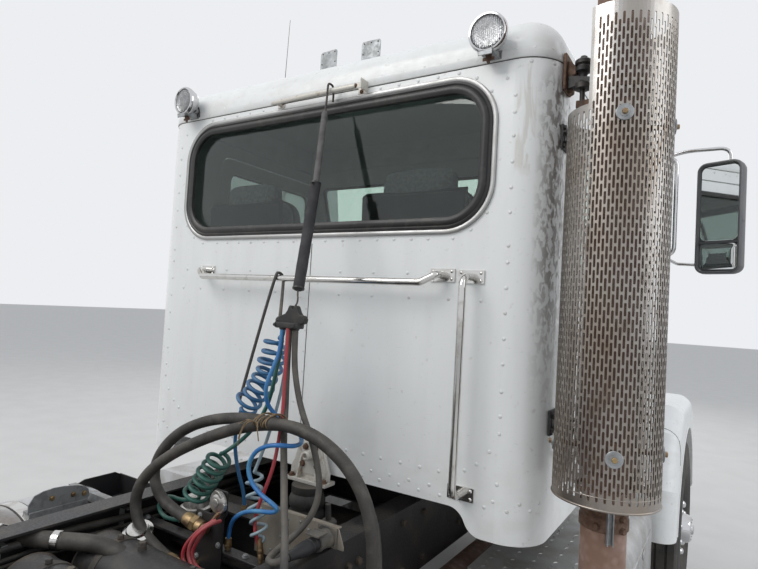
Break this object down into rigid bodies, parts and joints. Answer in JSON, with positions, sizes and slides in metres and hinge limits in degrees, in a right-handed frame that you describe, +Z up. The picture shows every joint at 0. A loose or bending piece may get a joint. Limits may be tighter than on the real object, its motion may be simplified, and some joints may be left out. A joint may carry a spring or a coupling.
{
  "type": "conventional day cab semi truck tractor unit",
  "caption": "Road tractor with a riveted day cab, tilting hood, upright exhaust stack in a slotted heat shield, steered front axle, tandem twin-tyred drive axles and a tilting fifth wheel.",
  "frame": {"origin": "on the ground, under the middle of the vehicle's box", "axes": "+Y towards the rear along the frame, +X to the vehicle's left, +Z up"},
  "size_m": [2.93, 7.2, 3.3498],
  "materials": {
    "paint_white": "gloss, faintly scratched",
    "frame_black": "satin, dusty",
    "chrome": "polished",
    "aluminium": "satin",
    "stainless": "heat tinted",
    "pipe_rust": "rusted",
    "cast_dark": "greasy",
    "tyre": "worn tread",
    "rubber": "matt",
    "glass": "tinted",
    "lamp_lens": "ribbed clear",
    "trim_black": "matt",
    "dash_grey": "grained",
    "seat_grey": "woven",
    "hose_grey": "dusty",
    "coil_green": "satin",
    "coil_blue": "satin"
  },
  "bodies": {
    "chassis": {"frame_rails": "frame_black", "front_axle": "cast_dark", "drive_axles": "cast_dark", "drive_shafts": "cast_dark", "rear_suspension": "frame_black", "engine_block": "cast_dark", "radiator": "trim_black", "front_bumper": "chrome", "cab_shell": "paint_white", "cab_roof": "paint_white", "cab_glass": "glass", "window_seal": "rubber", "dashboard": "dash_grey", "seats": "seat_grey", "side_boxes": "aluminium", "fuel_tanks": "aluminium", "exhaust_pipe": "pipe_rust", "heat_shield": "stainless", "stack_bracket": "pipe_rust", "work_lights": "chrome", "grab_rails": "chrome", "tender_bar": "chrome", "hose_plate": "aluminium", "quarter_fenders": "aluminium", "mud_flaps": "rubber", "air_tanks": "frame_black", "fifth_wheel_base": "frame_black", "hydraulic_hoses": "hose_grey", "trailer_cables": "hose_grey", "green_air_line": "coil_green", "blue_air_line": "coil_blue", "loose_air_hoses": "coil_blue", "rubber_strap": "rubber"},
    "knuckle_left": {"knuckle_left": "cast_dark"},
    "knuckle_right": {"knuckle_right": "cast_dark"},
    "tie_rod": {"tie_rod": "cast_dark"},
    "wheel_front_left": {"tyre_front_left": "tyre", "rim_front_left": "aluminium"},
    "wheel_front_right": {"tyre_front_right": "tyre", "rim_front_right": "aluminium"},
    "wheels_mid_left": {"tyres_mid_left": "tyre", "rims_mid_left": "aluminium"},
    "wheels_mid_right": {"tyres_mid_right": "tyre", "rims_mid_right": "aluminium"},
    "wheels_rear_left": {"tyres_rear_left": "tyre", "rims_rear_left": "aluminium"},
    "wheels_rear_right": {"tyres_rear_right": "tyre", "rims_rear_right": "aluminium"},
    "door_left": {"door_panel_left": "paint_white", "door_glass_left": "glass", "mirror_left": "chrome"},
    "door_right": {"door_panel_right": "paint_white", "door_glass_right": "glass", "mirror_right": "chrome"},
    "hood": {"hood_panel": "paint_white", "front_fenders": "paint_white", "grille": "chrome", "headlights": "lamp_lens"},
    "fifth_wheel": {"fifth_wheel_plate": "cast_dark"},
    "steering_wheel": {"steering_wheel": "trim_black"}
  },
  "joints": [
    {"name": "steer_left", "type": "hinge", "parent": "chassis", "child": "knuckle_left", "pos_m": [0.89, -2.75, 0.525], "axis": [0, 0, 1], "range_deg": [-35, 35]},
    {"name": "steer_right", "type": "hinge", "parent": "chassis", "child": "knuckle_right", "pos_m": [-0.89, -2.75, 0.525], "axis": [0, 0, 1], "range_deg": [-35, 35]},
    {"name": "tie_rod_pivot", "type": "hinge", "parent": "knuckle_left", "child": "tie_rod", "pos_m": [0.89, -2.55, 0.48], "axis": [0, 0, 1], "range_deg": [-35, 35]},
    {"name": "steering_wheel_turn", "type": "hinge", "parent": "chassis", "child": "steering_wheel", "pos_m": [0.42, -1.4, 1.95], "axis": [0, 0.5914, 0.8064], "range_deg": [-630, 630]},
    {"name": "hood_tilt", "type": "hinge", "parent": "chassis", "child": "hood", "pos_m": [0, -3.5, 0.8], "axis": [1, 0, 0], "range_deg": [0, 75]},
    {"name": "door_left_swing", "type": "hinge", "parent": "chassis", "child": "door_left", "pos_m": [0.962, -1.727, 1.8], "axis": [0, 0, -1], "range_deg": [0, 70]},
    {"name": "door_right_swing", "type": "hinge", "parent": "chassis", "child": "door_right", "pos_m": [-0.962, -1.727, 1.8], "axis": [0, 0, 1], "range_deg": [0, 70]},
    {"name": "fifth_wheel_tilt", "type": "hinge", "parent": "chassis", "child": "fifth_wheel", "pos_m": [0, 2.15, 1.13], "axis": [1, 0, 0], "range_deg": [-15, 15]},
    {"name": "roll_front_left", "type": "hinge", "parent": "knuckle_left", "child": "wheel_front_left", "pos_m": [1.085, -2.75, 0.525], "axis": [1, 0, 0], "continuous": true},
    {"name": "roll_front_right", "type": "hinge", "parent": "knuckle_right", "child": "wheel_front_right", "pos_m": [-1.085, -2.75, 0.525], "axis": [1, 0, 0], "continuous": true},
    {"name": "roll_mid_left", "type": "hinge", "parent": "chassis", "child": "wheels_mid_left", "pos_m": [0.92, 1.54, 0.525], "axis": [1, 0, 0], "continuous": true},
    {"name": "roll_mid_right", "type": "hinge", "parent": "chassis", "child": "wheels_mid_right", "pos_m": [-0.92, 1.54, 0.525], "axis": [1, 0, 0], "continuous": true},
    {"name": "roll_rear_left", "type": "hinge", "parent": "chassis", "child": "wheels_rear_left", "pos_m": [0.92, 2.86, 0.525], "axis": [1, 0, 0], "continuous": true},
    {"name": "roll_rear_right", "type": "hinge", "parent": "chassis", "child": "wheels_rear_right", "pos_m": [-0.92, 2.86, 0.525], "axis": [1, 0, 0], "continuous": true}
  ],
  "couplings": [
    {"joint": "steer_right", "follows": "steer_left", "ratio": 1},
    {"joint": "tie_rod_pivot", "follows": "steer_left", "ratio": -1},
    {"joint": "steering_wheel_turn", "follows": "steer_left", "ratio": 18}
  ]
}
